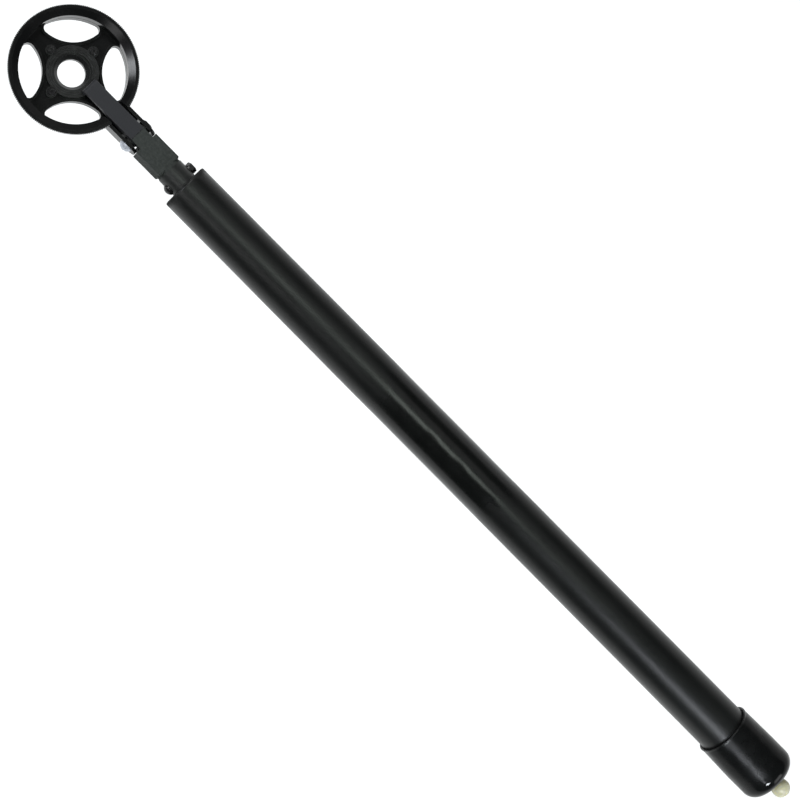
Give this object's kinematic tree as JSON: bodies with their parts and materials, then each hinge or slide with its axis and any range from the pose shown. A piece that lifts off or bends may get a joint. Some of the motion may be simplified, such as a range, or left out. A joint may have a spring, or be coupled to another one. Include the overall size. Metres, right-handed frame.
{
  "type": "folding winch handle",
  "caption": "Folding winch handle: spoked hub wheel with a bore, clevis and rocker arm, and a long foam grip that turns on its tube, with an end cap.",
  "frame": {"origin": "centre of the hub's drive bore, inside its cylindrical land", "axes": "+Z along the bore towards the wheel's front face, +X along the handle towards its end ball, +Y across the clevis"},
  "size_m": [0.8235, 0.096, 0.0466],
  "materials": {
    "wheel_black": "satin",
    "hub_black": "satin",
    "black_steel": "gloss",
    "bright_zinc": "polished",
    "arm_paint": "satin",
    "bush_nylon": "matte",
    "block_grey": "matte",
    "tube_anodised": "satin",
    "foam": "matte",
    "vinyl_cap": "gloss",
    "plug_nylon": "matte",
    "ball_nylon": "satin"
  },
  "bodies": {
    "wheel_head": {"hand_wheel": "wheel_black", "hub_bush": "hub_black", "hub_ring": "hub_black", "hub_back_plate": "hub_black", "hub_screws": "black_steel", "hub_nuts": "black_steel", "pivot_bolt": "bright_zinc", "pivot_nut": "black_steel", "pivot_washers": "bush_nylon"},
    "rocker": {"rocker_arm": "arm_paint"},
    "handle": {"tongue_bush": "bush_nylon", "knuckle_block": "block_grey", "inner_tube": "tube_anodised", "cross_bolt": "black_steel", "cross_bolt_nut": "black_steel", "cross_bolt_washers": "black_steel", "end_plug": "plug_nylon", "end_ball": "ball_nylon"},
    "grip": {"front_grip_bush": "bush_nylon", "rear_grip_bush": "bush_nylon", "grip_tube": "tube_anodised", "foam_grip": "foam", "end_cap": "vinyl_cap"}
  },
  "joints": [
    {"name": "arm_lift", "type": "hinge", "parent": "wheel_head", "child": "rocker", "pos_m": [0.0655, 0, 0.0064], "axis": [0, 1, 0], "range_deg": [0, 15]},
    {"name": "handle_fold", "type": "hinge", "parent": "rocker", "child": "handle", "pos_m": [0.0655, 0, 0.0064], "axis": [0, 1, 0], "range_deg": [0, 75]},
    {"name": "grip_spin", "type": "hinge", "parent": "handle", "child": "grip", "pos_m": [0.4, 0, 0.005], "axis": [1, 0, 0], "continuous": true}
  ]
}
